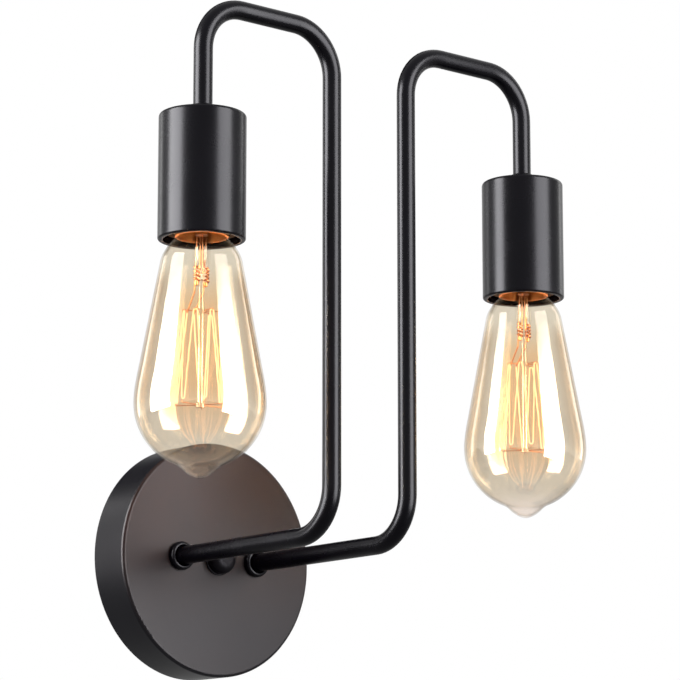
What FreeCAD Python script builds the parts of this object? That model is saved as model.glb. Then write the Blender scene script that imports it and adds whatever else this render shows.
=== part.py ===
"""Two-lamp pipe wall light: a round canopy, two bent pipe arms, two cups and two pear-shaped lamps.

Row frame, in millimetres: the origin is the centre of the canopy's rim on the wall, +X runs right
along the wall, -Y points out into the room and +Z is up. Every piece is a solid of its own.
"""
import FreeCAD, Part
import math
import os

from FreeCAD import Vector

# ---------------------------------------------------------------- driving dimensions
# canopy and its fixings
CANOPY_DIA = 124.0
CANOPY_DEPTH = 25.0
CANOPY_SHEET = 1.2
CANOPY_EDGE = 1.8
CANOPY_HEM = 2.4
BRACKET_WIDTH = 20.0
BRACKET_SHEET = 2.0
BRACKET_END = 7.0
BRACKET_CORNER = 3.5
BOX_SPACING_MIN = 69.85
BOX_SPACING_MAX = 88.9
SLOT_WIDTH = 4.8
STUD_DIA = 9.5
STUD_BORE = 6.5
HEX_ACROSS = 14.3
HEX_THICK = 4.0
HEX_CHAMFER = 0.6
SCREW_SLOT = 1.0
FINIAL_DIA = 15.5
FINIAL_HEIGHT = 7.0
FINIAL_DOME = 4.6
FINIAL_CROWN = 2.3
FINIAL_WASHER_DIA = 17.0
FINIAL_WASHER_THICK = 1.0
GROUND_SCREW_DIA = 4.8
GROUND_HEAD_DIA = 9.5
GROUND_HEAD_THICK = 3.0
GROUND_HEAD_ROUND = 0.8
GROUND_DROP = 19.0

# pipe arms
PIPE_DIA = 9.5
PIPE_WALL = 1.25
ARM_SPACING = 50.0
ARM_REACH = 123.0
RISER_HEIGHT = 256.0
ARM_SPAN = 82.5
ARM_DROP = 57.5
BEND_RADIUS = 24.0
PIPE_TAIL = 6.8
COLLAR_DIA = 15.0
COLLAR_THICK = 3.6
COLLAR_ROUND = 1.6
COLLAR_DISH = 1.0
WASHER_DIA = 15.5
WASHER_THICK = 0.8
WASHER_TEETH = 12
TOOTH_DEPTH = 1.6

# cups and lamp holders
CUP_DIA = 43.0
CUP_LENGTH = 63.0
CUP_WALL = 2.5
CUP_TOP = 2.5
CUP_EDGE = 1.8
CUP_LIP = 1.0
CUP_COLLAR_DIA = 13.0
CUP_COLLAR_HEIGHT = 4.5
CUP_COLLAR_ROUND = 1.4
HOLDER_DIA = 35.0
HOLDER_SETBACK = 3.5
HOLDER_FLOOR = 8.4
SHELL_WALL = 0.4
SHELL_INSET = 0.6
YOKE_WIDTH = 9.0
YOKE_SPAN = 22.0
YOKE_SHEET = 2.0
YOKE_TOE = 6.0
YOKE_NECK_DIA = 13.5
YOKE_NECK_HEIGHT = 8.0
TERMINAL_OFFSET = 13.0
TERMINAL_SHANK = 3.0
TERMINAL_HEAD = 6.0
TERMINAL_HEAD_THICK = 2.0
TERMINAL_DEPTH = 4.0
SPRING_WIDTH = 6.0
SPRING_LENGTH = 12.0
SPRING_SHEET = 0.5
SPRING_RISE = 1.5

# screw lamps
CAP_DIA = 26.0
THREAD_PITCH = 3.629
THREAD_TURNS = 4
THREAD_DEPTH = 0.7
CAP_LENGTH = 20.5
CAP_RIM_RISE = 1.5
CAP_SHEET = 0.35
CAP_TOP_DIA = 21.0
CAP_TURN_IN = 1.0
INSULATOR_HEIGHT = 3.5
INSULATOR_STEP = 0.9
INSULATOR_TOP_DIA = 12.0
CONTACT_DIA = 9.5
CONTACT_HEIGHT = 1.3
CONTACT_ROUND = 0.9
BULB_DIA = 64.0
BULB_REACH = 116.5
BULB_BELLY = 80.0
BULB_SHOULDER_DROP = 11.0
BULB_SHOULDER_DIA = 40.0
BULB_CONE_DIA = 58.4
BULB_CONE_DROP = 60.0
BULB_NIPPLE_DIA = 23.0
BULB_TIP_DIA = 13.0
BULB_TIP_LENGTH = 2.7
NECK_SLOPE = (1.1, -1.0)
NIPPLE_SLOPE = (-1.0, -0.75)
GLASS_WALL = 0.8
GLASS_IN_CAP = 11.0
STEM_DIA = 8.4
STEM_WALL = 0.9
STEM_DROP = 14.0
STEM_FLARE = 4.0
PRESS_HEIGHT = 6.0
PRESS_THICK = 4.2
ROD_DIA = 3.0
CAGE_TOP = 35.0
CAGE_HEIGHT = 46.0
CAGE_TOP_DIA = 17.0
CAGE_FOOT_DIA = 23.0
CAGE_HOOKS = 6
CAGE_START = 90.0
FILAMENT_DIA = 0.5
HOOK_DIA = 0.6
HOOK_OVERHANG = 0.6
HUB_DIA = 5.4
HUB_HEIGHT = 2.4
LEAD_IN_DIA = 0.7
LEAD_IN_PITCH = 5.6
LEAD_IN_KNEE = 1.4
LEAD_IN_BEND = 2.8
CRIMP_DIA = 1.8
CRIMP_LENGTH = 5.0

# wiring
LEAD_DIA = 2.3
LEAD_PITCH = 2.7
LEAD_CORE = 1.0
LEAD_BEND = 4.0
LEAD_STRIP = 1.0
CORE_GRIP = 1.0
CROSSING_NEAR = 9.0
CROSSING_FAR = 15.0
CONNECTOR_DIA = 10.0
CONNECTOR_TIP_DIA = 6.6
CONNECTOR_LENGTH = 18.0
CONNECTOR_BORE = 5.2
CONNECTOR_BORE_DEPTH = 15.5
CONNECTOR_SKIRT = 3.0
CONNECTOR_ENTRY = 11.0
CONNECTOR_MOUTH = -27.0
EARTH_MOUTH = -35.0
CONNECTOR_PITCH = 14.0
HOT_PLANE = 12.0
NEUTRAL_PLANE = 9.0
TERMINAL_RING_DIA = 9.0
TERMINAL_RING_SHEET = 0.8
BARREL_DIA = 3.2
BARREL_LENGTH = 3.0
EARTH_BEND = 2.0
EARTH_RUN = 4.0

# clearances
THREAD_FIT = 0.05
HOLE_FIT = 0.15
SLIDE_FIT = 0.3
FACE_GAP = 0.15
NUT_GAP = 0.5
OVERCUT = 1.0

# ---------------------------------------------------------------- places worked out from them
SIDES = {"left": -1, "right": 1}
RISER_X = ARM_SPACING / 2.0
DROP_X = RISER_X + ARM_SPAN
RISER_Y = -(CANOPY_DEPTH + ARM_REACH)
CUP_TOP_Z = RISER_HEIGHT - ARM_DROP
MOUTH_Z = CUP_TOP_Z - CUP_LENGTH
PIPE_START = CANOPY_DEPTH - CANOPY_SHEET - PIPE_TAIL
SLOT_CENTRE = (BOX_SPACING_MIN + BOX_SPACING_MAX) / 4.0
SLOT_TRAVEL = (BOX_SPACING_MAX - BOX_SPACING_MIN) / 4.0
BRACKET_HALF = SLOT_CENTRE + SLOT_TRAVEL + BRACKET_END

# heights above the cup's mouth
CAP_TOP = CAP_RIM_RISE + CAP_LENGTH
CONTACT_BASE = CAP_TOP + INSULATOR_HEIGHT + FACE_GAP
CONTACT_TOP = CONTACT_BASE + CONTACT_HEIGHT
SPRING_TOP = CONTACT_TOP + FACE_GAP + SPRING_RISE
HOLDER_TOP = SPRING_TOP + HOLDER_FLOOR
SHELL_BORE = CAP_DIA / 2.0 + SLIDE_FIT
HOLDER_BORE = SHELL_BORE + THREAD_DEPTH + SHELL_WALL + THREAD_FIT
YOKE_TOP = CUP_LENGTH - CUP_TOP - HEX_THICK - NUT_GAP
PLATE_BASE = YOKE_TOP - YOKE_NECK_HEIGHT - YOKE_SHEET
LEAD_END = HOLDER_TOP + LEAD_DIA / 2.0
PIPE_END = PLATE_BASE + YOKE_SHEET

UP = Vector(0, 0, 1)
TINY = 0.01
THREAD_STEPS = 4


# ---------------------------------------------------------------- shared shapes
def cylinder(radius, low, high, x=0.0, y=0.0):
    """A round bar along Z from low to high."""
    return Part.makeCylinder(radius, high - low, Vector(x, y, low), UP)


def ring(outer, inner, low, high):
    """A flat ring along Z between two heights."""
    return cylinder(outer, low, high).cut(cylinder(inner, low - OVERCUT, high + OVERCUT))


def block(x0, x1, y0, y1, z0, z1):
    """A box between two corners."""
    return Part.makeBox(x1 - x0, y1 - y0, z1 - z0, Vector(x0, y0, z0))


def turned(points):
    """A solid turned about Z from a closed outline of (radius, height) points."""
    corners = [Vector(radius, 0, height) for radius, height in points]
    outline = Part.makePolygon(corners + [corners[0]])
    return Part.Face(outline).revolve(Vector(0, 0, 0), UP, 360)


def turned_edges(edges):
    """A solid turned about Z from edges that close an outline."""
    face = Part.Face(Part.Wire(Part.__sortEdges__(edges)))
    return face.revolve(Vector(0, 0, 0), UP, 360)


def line(start, end):
    """A straight edge between two (radius, height) points."""
    return Part.LineSegment(Vector(start[0], 0, start[1]), Vector(end[0], 0, end[1])).toShape()


def rounded(solid, size, radius, height):
    """Round the circular edges of one radius at one height."""
    chosen = []
    for edge in solid.Edges:
        curve = edge.Curve
        if not isinstance(curve, Part.Circle):
            continue
        if abs(curve.Radius - radius) < TINY and abs(curve.Center.z - height) < TINY:
            chosen.append(edge)
    return solid.makeFillet(size, chosen)


def facing_out(solid):
    """Turn a piece made along +Z so that it points from the wall into the room."""
    piece = solid.copy()
    piece.rotate(Vector(0, 0, 0), Vector(1, 0, 0), 90)
    return piece


def moved(solid, x=0.0, y=0.0, z=0.0):
    """A copy of a piece at another place."""
    piece = solid.copy()
    piece.translate(Vector(x, y, z))
    return piece


def hexagon(across, low, high, bore):
    """A hexagon nut along Z with chamfered corners."""
    reach = across / math.sqrt(3.0)
    corners = []
    for step in range(7):
        turn = math.radians(60.0 * step)
        corners.append(Vector(reach * math.cos(turn), reach * math.sin(turn), low))
    prism = Part.Face(Part.makePolygon(corners)).extrude(Vector(0, 0, high - low))
    flat = across / 2.0
    cone = turned([(0, low), (flat, low), (reach, low + HEX_CHAMFER), (reach, high - HEX_CHAMFER),
                   (flat, high), (0, high)])
    return prism.common(cone).cut(cylinder(bore, low - OVERCUT, high + OVERCUT))


def bent_path(points, radii):
    """A wire of straight runs joined by tangent arcs, one radius for each inner point."""
    edges = []
    last = points[0]
    for before, corner, after, radius in zip(points, points[1:], points[2:], radii):
        inward = (before - corner).normalize()
        onward = (after - corner).normalize()
        half = inward.getAngle(onward) / 2.0
        setback = radius / math.tan(half)
        first = corner + inward * setback
        second = corner + onward * setback
        middle = (inward + onward).normalize()
        crown = corner + middle * (radius / math.sin(half) - radius)
        edges.append(Part.LineSegment(last, first).toShape())
        edges.append(Part.Arc(first, crown, second).toShape())
        last = second
    edges.append(Part.LineSegment(last, points[-1]).toShape())
    return Part.Wire(edges)


def tube_along(path, radius):
    """A round bar swept along a bent path."""
    start = path.Edges[0]
    point = start.valueAt(start.FirstParameter)
    heading = start.tangentAt(start.FirstParameter)
    section = Part.Wire([Part.makeCircle(radius, point, heading)])
    return path.makePipeShell([section], True, False)


def wave(radius, low, turns):
    """A rounded thread outline of (radius, height) points, crest first, rising from one height."""
    points = []
    for step in range(turns * THREAD_STEPS + 1):
        part_turn = step / THREAD_STEPS
        swing = THREAD_DEPTH * (1.0 - math.cos(2.0 * math.pi * part_turn)) / 2.0
        points.append(Vector(radius - swing, 0, low + THREAD_PITCH * part_turn))
    curve = Part.BSplineCurve()
    curve.interpolate(points)
    return curve.toShape()


# ---------------------------------------------------------------- canopy and fixings
def canopy():
    """The round drum that covers the wall box, with a turned-in hem at the wall."""
    radius = CANOPY_DIA / 2.0
    inner = radius - CANOPY_SHEET
    skin = cylinder(radius, 0, CANOPY_DEPTH)
    skin = rounded(skin, CANOPY_EDGE, radius, CANOPY_DEPTH)
    hollow = cylinder(inner, CANOPY_SHEET, CANOPY_DEPTH - CANOPY_SHEET)
    hollow = rounded(hollow, CANOPY_EDGE - CANOPY_SHEET, inner, CANOPY_DEPTH - CANOPY_SHEET)
    mouth = cylinder(inner - CANOPY_HEM, -OVERCUT, CANOPY_SHEET + OVERCUT)
    shell = skin.cut(hollow).cut(mouth)
    behind = CANOPY_DEPTH - CANOPY_SHEET - OVERCUT
    before = CANOPY_DEPTH + OVERCUT
    for x, diameter in ((-RISER_X, PIPE_DIA), (0.0, STUD_DIA), (RISER_X, PIPE_DIA)):
        shell = shell.cut(cylinder(diameter / 2.0 + HOLE_FIT, behind, before, x))
    return facing_out(shell)


def slot(height):
    """The cutting shape of one screw slot, centred at a height on the bracket."""
    half = SLOT_WIDTH / 2.0
    back = -OVERCUT
    front = BRACKET_SHEET + OVERCUT
    bar = block(-half, half, height - SLOT_TRAVEL, height + SLOT_TRAVEL, back, front)
    for end in (height - SLOT_TRAVEL, height + SLOT_TRAVEL):
        bar = bar.fuse(cylinder(half, back, front, 0.0, end))
    return bar.removeSplitter()


def wall_bracket():
    """The steel strap that is screwed across the wall box."""
    half = BRACKET_WIDTH / 2.0
    strap = block(-half, half, -BRACKET_HALF, BRACKET_HALF, 0, BRACKET_SHEET)
    ends = [edge for edge in strap.Edges if abs(edge.tangentAt(edge.FirstParameter).z) > 1.0 - TINY]
    strap = strap.makeFillet(BRACKET_CORNER, ends)
    strap = strap.cut(slot(SLOT_CENTRE)).cut(slot(-SLOT_CENTRE))
    for y, diameter in ((0.0, STUD_DIA), (-GROUND_DROP, GROUND_SCREW_DIA)):
        tapped = cylinder(diameter / 2.0 + THREAD_FIT, -OVERCUT, BRACKET_SHEET + OVERCUT, 0.0, y)
        strap = strap.cut(tapped)
    return facing_out(strap)


def centre_stud():
    """The hollow threaded stud that the canopy is clamped on."""
    end = CANOPY_DEPTH + FACE_GAP + FINIAL_WASHER_THICK + FACE_GAP + finial_bore_depth() - FACE_GAP
    return facing_out(ring(STUD_DIA / 2.0, STUD_BORE / 2.0, 0.0, end))


def stud_nut():
    """The lock nut that holds the stud in the bracket."""
    low = BRACKET_SHEET
    return facing_out(hexagon(HEX_ACROSS, low, low + HEX_THICK, STUD_DIA / 2.0 + THREAD_FIT))


def finial_washer():
    """The flat ring between the knob and the canopy."""
    low = CANOPY_DEPTH + FACE_GAP
    high = low + FINIAL_WASHER_THICK
    radius = FINIAL_WASHER_DIA / 2.0
    disc = ring(radius, STUD_DIA / 2.0 + THREAD_FIT, low, high)
    return facing_out(rounded(disc, FINIAL_WASHER_THICK / 2.0, radius, high))


def finial_bore_depth():
    """How deep the knob's blind thread goes."""
    return FINIAL_HEIGHT - FINIAL_CROWN


def finial():
    """The round cap nut that is turned by hand."""
    low = CANOPY_DEPTH + FACE_GAP + FINIAL_WASHER_THICK + FACE_GAP
    radius = FINIAL_DIA / 2.0
    knob = rounded(cylinder(radius, low, low + FINIAL_HEIGHT), FINIAL_DOME, radius, low + FINIAL_HEIGHT)
    bore = cylinder(STUD_DIA / 2.0 + THREAD_FIT, low - OVERCUT, low + finial_bore_depth())
    return facing_out(knob.cut(bore))


def driver_slot(across, seat, thick):
    """The cutting shape of the slot across a screw's head."""
    half = SCREW_SLOT / 2.0
    return block(-across, across, -half, half, seat + thick / 2.0, seat + thick + OVERCUT)


def ground_screw():
    """The earthing screw in the bracket, over the earth lead's ring."""
    seat = BRACKET_SHEET + TERMINAL_RING_SHEET
    head = cylinder(GROUND_HEAD_DIA / 2.0, seat, seat + GROUND_HEAD_THICK)
    head = rounded(head, GROUND_HEAD_ROUND, GROUND_HEAD_DIA / 2.0, seat + GROUND_HEAD_THICK)
    head = head.cut(driver_slot(GROUND_HEAD_DIA, seat, GROUND_HEAD_THICK))
    shank = cylinder(GROUND_SCREW_DIA / 2.0, 0.0, seat)
    return facing_out(moved(head.fuse(shank), y=-GROUND_DROP))


# ---------------------------------------------------------------- arms
def arm_path(side):
    """The pipe's centre line from inside the canopy to the lamp holder."""
    points = [
        Vector(side * RISER_X, -PIPE_START, 0),
        Vector(side * RISER_X, RISER_Y, 0),
        Vector(side * RISER_X, RISER_Y, RISER_HEIGHT),
        Vector(side * DROP_X, RISER_Y, RISER_HEIGHT),
        Vector(side * DROP_X, RISER_Y, MOUTH_Z + PIPE_END),
    ]
    return bent_path(points, [BEND_RADIUS] * 3)


def arm(side):
    """One bent pipe: out from the wall, up, sideways and down into its cup."""
    path = arm_path(side)
    return tube_along(path, PIPE_DIA / 2.0).cut(tube_along(path, PIPE_DIA / 2.0 - PIPE_WALL))


def arm_collar(side):
    """The dished ring round a pipe on the canopy's face."""
    low = CANOPY_DEPTH
    high = low + COLLAR_THICK
    radius = COLLAR_DIA / 2.0
    inner = PIPE_DIA / 2.0 + THREAD_FIT
    body = rounded(cylinder(radius, low, high), COLLAR_ROUND, radius, high)
    lip = radius - COLLAR_ROUND
    floor = high - COLLAR_DISH
    dish = turned([(0, floor), (inner, floor), (lip, high), (lip, high + OVERCUT), (0, high + OVERCUT)])
    bore = cylinder(inner, low - OVERCUT, high + OVERCUT)
    return facing_out(moved(body.cut(dish).cut(bore), x=side * RISER_X))


def arm_washer(side):
    """The toothed lock washer behind the canopy's face."""
    high = CANOPY_DEPTH - CANOPY_SHEET
    low = high - WASHER_THICK
    disc = ring(WASHER_DIA / 2.0, PIPE_DIA / 2.0 + THREAD_FIT, low, high)
    for tooth in range(WASHER_TEETH):
        turn = math.radians(360.0 / WASHER_TEETH * tooth)
        x = WASHER_DIA / 2.0 * math.cos(turn)
        y = WASHER_DIA / 2.0 * math.sin(turn)
        disc = disc.cut(cylinder(TOOTH_DEPTH / 2.0, low - OVERCUT, high + OVERCUT, x, y))
    return facing_out(moved(disc, x=side * RISER_X))


def arm_nut(side):
    """The hexagon nut that clamps a pipe to the canopy."""
    high = CANOPY_DEPTH - CANOPY_SHEET - WASHER_THICK
    nut = hexagon(HEX_ACROSS, high - HEX_THICK, high, PIPE_DIA / 2.0 + THREAD_FIT)
    return facing_out(moved(nut, x=side * RISER_X))


# ---------------------------------------------------------------- cups and holders, mouth at z = 0
def cup():
    """The plain round cup over a lamp holder, open below."""
    radius = CUP_DIA / 2.0
    inner = radius - CUP_WALL
    body = rounded(cylinder(radius, 0, CUP_LENGTH), CUP_EDGE, radius, CUP_LENGTH)
    body = rounded(body, CUP_LIP, radius, 0)
    hollow = cylinder(inner, -OVERCUT, CUP_LENGTH - CUP_TOP)
    bore = cylinder(PIPE_DIA / 2.0 + HOLE_FIT, CUP_LENGTH - CUP_TOP - OVERCUT, CUP_LENGTH + OVERCUT)
    return body.cut(hollow).cut(bore)


def cup_collar():
    """The small round collar on top of a cup."""
    radius = CUP_COLLAR_DIA / 2.0
    top = CUP_LENGTH + CUP_COLLAR_HEIGHT
    body = ring(radius, PIPE_DIA / 2.0 + THREAD_FIT, CUP_LENGTH, top)
    return rounded(body, CUP_COLLAR_ROUND, radius, top)


def cup_nut():
    """The hexagon nut under a cup's top."""
    high = CUP_LENGTH - CUP_TOP
    return hexagon(HEX_ACROSS, high - HEX_THICK, high, PIPE_DIA / 2.0 + THREAD_FIT)


def holder_yoke():
    """The steel yoke that screws onto the pipe's end and carries the holder."""
    foot = HOLDER_TOP
    half = YOKE_SPAN / 2.0
    side = YOKE_WIDTH / 2.0
    legs = block(-half, half, -side, side, foot, PIPE_END)
    window = block(-half + YOKE_SHEET, half - YOKE_SHEET, -side - OVERCUT, side + OVERCUT, foot - OVERCUT,
                   PLATE_BASE)
    frame = legs.cut(window)
    for inner, outer in ((-half, -half + YOKE_TOE), (half - YOKE_TOE, half)):
        frame = frame.fuse(block(inner, outer, -side, side, foot, foot + YOKE_SHEET))
    frame = frame.fuse(cylinder(YOKE_NECK_DIA / 2.0, PLATE_BASE, YOKE_TOP))
    thread = cylinder(PIPE_DIA / 2.0 + THREAD_FIT, PIPE_END, YOKE_TOP + OVERCUT)
    way = cylinder(PIPE_DIA / 2.0 - PIPE_WALL, PLATE_BASE - OVERCUT, PIPE_END + OVERCUT)
    return frame.cut(thread).cut(way).removeSplitter()


def terminal_places(side):
    """Where a holder's two terminal screws stand: hot first, then neutral."""
    offset = side * LEAD_PITCH / 2.0
    shift = (TERMINAL_SHANK + LEAD_CORE) / 2.0 + THREAD_FIT
    return [(offset + shift, TERMINAL_OFFSET), (-offset + shift, -TERMINAL_OFFSET)]


def holder_body(side):
    """The moulded insulator round the brass screw shell."""
    radius = HOLDER_DIA / 2.0
    body = rounded(cylinder(radius, HOLDER_SETBACK, HOLDER_TOP), CUP_EDGE, radius, HOLDER_TOP)
    body = body.cut(cylinder(HOLDER_BORE, HOLDER_SETBACK - OVERCUT, SPRING_TOP))
    hole_foot = HOLDER_TOP - TERMINAL_DEPTH - THREAD_FIT
    for x, y in terminal_places(side):
        body = body.cut(cylinder(TERMINAL_SHANK / 2.0 + THREAD_FIT, hole_foot, HOLDER_TOP + OVERCUT, x, y))
    return body


def screw_shell():
    """The holder's brass shell, rolled with the lamp's thread."""
    low = HOLDER_SETBACK + SHELL_INSET
    high = SPRING_TOP
    start = CAP_RIM_RISE + (CAP_LENGTH - THREAD_TURNS * THREAD_PITCH) / 2.0 + THREAD_PITCH / 4.0
    end = start + THREAD_TURNS * THREAD_PITCH
    outer = SHELL_BORE + THREAD_DEPTH + SHELL_WALL
    inside = wave(SHELL_BORE + THREAD_DEPTH, start, THREAD_TURNS)
    bore = SHELL_BORE + THREAD_DEPTH
    edges = [inside, line((bore, end), (bore, high)), line((bore, high), (outer, high)),
             line((outer, high), (outer, low)), line((outer, low), (bore, low)),
             line((bore, low), (bore, start))]
    return turned_edges(edges)


def centre_spring():
    """The bent strip that presses on the lamp's end contact."""
    half = SPRING_WIDTH / 2.0
    length = SPRING_LENGTH / 2.0
    base = block(-length, length, -half, half, SPRING_TOP - SPRING_SHEET, SPRING_TOP)
    tongue_low = CONTACT_TOP + FACE_GAP
    tongue = block(-length, length, -half, half, tongue_low, tongue_low + SPRING_SHEET)
    web = block(-length, -length + SPRING_SHEET, -half, half, tongue_low, SPRING_TOP)
    return base.fuse(tongue).fuse(web).removeSplitter()


def terminal_screws(side):
    """The two binding screws on a holder, as separate solids."""
    seat = HOLDER_TOP + (LEAD_DIA + LEAD_CORE) / 2.0 + THREAD_FIT
    screws = []
    for x, y in terminal_places(side):
        shank = cylinder(TERMINAL_SHANK / 2.0, HOLDER_TOP - TERMINAL_DEPTH, seat, x, y)
        head = cylinder(TERMINAL_HEAD / 2.0, seat, seat + TERMINAL_HEAD_THICK, x, y)
        head = head.cut(moved(driver_slot(TERMINAL_HEAD, seat, TERMINAL_HEAD_THICK), x, y))
        screws.append(head.fuse(shank).removeSplitter())
    return Part.makeCompound(screws)


# ---------------------------------------------------------------- lamps, mouth at z = 0
def bulb_cap():
    """The lamp's rolled screw cap."""
    radius = CAP_DIA / 2.0
    start = CAP_RIM_RISE + (CAP_LENGTH - THREAD_TURNS * THREAD_PITCH) / 2.0
    end = start + THREAD_TURNS * THREAD_PITCH
    inner = radius - THREAD_DEPTH - CAP_SHEET
    top = CAP_TOP_DIA / 2.0
    edges = [line((radius, CAP_RIM_RISE), (radius, start)), wave(radius, start, THREAD_TURNS),
             line((radius, end), (top, CAP_TOP)), line((top, CAP_TOP), (top - CAP_TURN_IN, CAP_TOP)),
             line((top - CAP_TURN_IN, CAP_TOP), (inner, end)), line((inner, end), (inner, CAP_RIM_RISE)),
             line((inner, CAP_RIM_RISE), (radius, CAP_RIM_RISE))]
    return turned_edges(edges)


def bulb_insulator():
    """The black glass cone between the cap and the end contact."""
    foot = CAP_TOP_DIA / 2.0
    top = INSULATOR_TOP_DIA / 2.0
    return turned([(0, CAP_TOP), (foot, CAP_TOP), (foot, CAP_TOP + INSULATOR_STEP),
                   (top, CAP_TOP + INSULATOR_HEIGHT), (0, CAP_TOP + INSULATOR_HEIGHT)])


def bulb_contact():
    """The lamp's round end contact."""
    radius = CONTACT_DIA / 2.0
    pad = cylinder(radius, CONTACT_BASE, CONTACT_TOP)
    return rounded(pad, CONTACT_ROUND, radius, CONTACT_TOP)


def curved(points, slopes):
    """A smooth edge through (radius, height) points with a given direction at each."""
    curve = Part.BSplineCurve()
    curve.interpolate(Points=[Vector(radius, 0, height) for radius, height in points],
                      Tangents=[Vector(radius, 0, height) for radius, height in slopes],
                      TangentFlags=[True] * len(points), Scale=True)
    return curve.toShape()


def glass_form(inset, top):
    """The solid inside the pear outline moved inwards by a wall, from the tip up to the neck's top."""
    neck = CAP_DIA / 2.0 - THREAD_DEPTH - CAP_SHEET - THREAD_FIT - inset
    shoulder = (BULB_SHOULDER_DIA / 2.0 - inset, -BULB_SHOULDER_DROP)
    cone_end = (BULB_CONE_DIA / 2.0 - inset, -BULB_CONE_DROP)
    slope = (cone_end[0] - shoulder[0], cone_end[1] - shoulder[1])
    ball = BULB_DIA / 2.0 - inset
    belly = (ball, -BULB_BELLY)
    root = BULB_NIPPLE_DIA / 2.0
    root_drop = math.sqrt(ball ** 2 - root ** 2)
    nipple_root = (root, -BULB_BELLY - root_drop)
    nipple_side = (BULB_TIP_DIA / 2.0, -BULB_REACH + BULB_TIP_LENGTH + inset)
    tip = (0.0, -BULB_REACH + inset)
    middle = ball * math.sqrt(0.5)
    lower_ball = Part.Arc(Vector(belly[0], 0, belly[1]), Vector(middle, 0, -BULB_BELLY - middle),
                          Vector(nipple_root[0], 0, nipple_root[1]))
    edges = [
        line((0, tip[1]), (0, top)),
        line((0, top), (neck, top)),
        line((neck, top), (neck, CAP_RIM_RISE)),
        curved([(neck, CAP_RIM_RISE), shoulder], [NECK_SLOPE, slope]),
        line(shoulder, cone_end),
        curved([cone_end, belly], [slope, (0, -1)]),
        lower_ball.toShape(),
        curved([nipple_root, nipple_side, tip], [(-root_drop, -root), NIPPLE_SLOPE, (-1, 0)]),
    ]
    return turned_edges(edges)


def bulb_glass():
    """The pear-shaped glass envelope, open at its neck inside the cap."""
    top = CAP_RIM_RISE + GLASS_IN_CAP
    return glass_form(0.0, top).cut(glass_form(GLASS_WALL, top + OVERCUT))


def bulb_stem():
    """The glass stem: a flare joined to the neck, a tube and a flattened press."""
    radius = STEM_DIA / 2.0
    flare = CAP_DIA / 2.0 - THREAD_DEPTH - CAP_SHEET - THREAD_FIT - GLASS_WALL
    top = CAP_RIM_RISE + GLASS_IN_CAP
    bore = radius - STEM_WALL
    bell = turned([(bore, top), (flare, top), (flare, top - STEM_WALL), (radius, top - STEM_FLARE),
                   (radius, -STEM_DROP), (bore, -STEM_DROP)])
    half = PRESS_THICK / 2.0
    press = block(-radius, radius, -half, half, -STEM_DROP - PRESS_HEIGHT, -STEM_DROP)
    end = cylinder(radius, -STEM_DROP - STEM_WALL, -STEM_DROP)
    return bell.fuse(end).fuse(press).removeSplitter().cut(lead_in_holes())


def lead_in_holes():
    """The two passages for the lead-in wires through the press."""
    reach = LEAD_IN_PITCH / 2.0
    radius = LEAD_IN_DIA / 2.0 + THREAD_FIT
    low = -STEM_DROP - PRESS_HEIGHT - OVERCUT
    high = -STEM_DROP + OVERCUT
    return cylinder(radius, low, high, -reach).fuse(cylinder(radius, low, high, reach))


def bulb_rod():
    """The glass rod that carries the hooks, with a button at each end of the cage."""
    radius = ROD_DIA / 2.0
    low = -(CAGE_TOP + CAGE_HEIGHT)
    rod = cylinder(radius, low - HUB_HEIGHT / 2.0, -STEM_DROP - PRESS_HEIGHT)
    for height in (-CAGE_TOP, low):
        button = cylinder(HUB_DIA / 2.0, height - HUB_HEIGHT / 2.0, height + HUB_HEIGHT / 2.0)
        rod = rod.fuse(button)
    return rod.removeSplitter()


def cage_points():
    """The hooks' places, top and foot in turn round the cage, from one filament end to the other."""
    points = []
    count = 2 * CAGE_HOOKS + 1
    for step in range(count):
        turn = math.radians(CAGE_START + 360.0 / count * (step + 0.5))
        top = step % 2 == 0
        radius = (CAGE_TOP_DIA if top else CAGE_FOOT_DIA) / 2.0
        height = -CAGE_TOP if top else -(CAGE_TOP + CAGE_HEIGHT)
        points.append(Vector(radius * math.cos(turn), radius * math.sin(turn), height))
    return points


def bulb_filament():
    """The carbon filament: one thread that runs up and down over the cage's hooks."""
    radius = (HOOK_DIA + FILAMENT_DIA) / 2.0 + FACE_GAP
    points = cage_points()
    corners = [points[0]]
    for before, hook, after in zip(points, points[1:], points[2:]):
        inward = (before - hook).normalize()
        onward = (after - hook).normalize()
        middle = (inward + onward).normalize()
        corners.append(hook - middle * (radius / math.sin(inward.getAngle(onward) / 2.0)))
    corners.append(points[-1])
    path = bent_path(corners, [radius] * (len(corners) - 2))
    return tube_along(path, FILAMENT_DIA / 2.0)


def bulb_hooks():
    """The wire supports from the rod's buttons out through the filament's turns."""
    hooks = []
    for point in cage_points()[1:-1]:
        outward = Vector(point.x, point.y, 0).normalize()
        start = Vector(outward.x * HUB_DIA / 2.0, outward.y * HUB_DIA / 2.0, point.z)
        reach = (point - start).Length + FILAMENT_DIA + HOOK_OVERHANG
        hooks.append(Part.makeCylinder(HOOK_DIA / 2.0, reach, start, outward))
    return Part.makeCompound(hooks)


def bulb_lead_wires():
    """The two lead-in wires from the press to the filament's ends, each with a crimped sleeve."""
    points = cage_points()
    press = -STEM_DROP - PRESS_HEIGHT
    wires = []
    for side, point in ((-1, points[0]), (1, points[-1])):
        sideways = side * LEAD_IN_PITCH / 2.0
        start = Vector(sideways, 0, CAP_RIM_RISE)
        knee = Vector(sideways, 0, press - CRIMP_LENGTH - LEAD_IN_KNEE)
        end = point + Vector(0, 0, (LEAD_IN_DIA + FILAMENT_DIA) / 2.0)
        wire = tube_along(bent_path([start, knee, end], [LEAD_IN_BEND]), LEAD_IN_DIA / 2.0)
        sleeve = cylinder(CRIMP_DIA / 2.0, press - CRIMP_LENGTH, press, sideways)
        wires.append(wire.fuse(sleeve).removeSplitter())
    return Part.makeCompound(wires)


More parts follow.
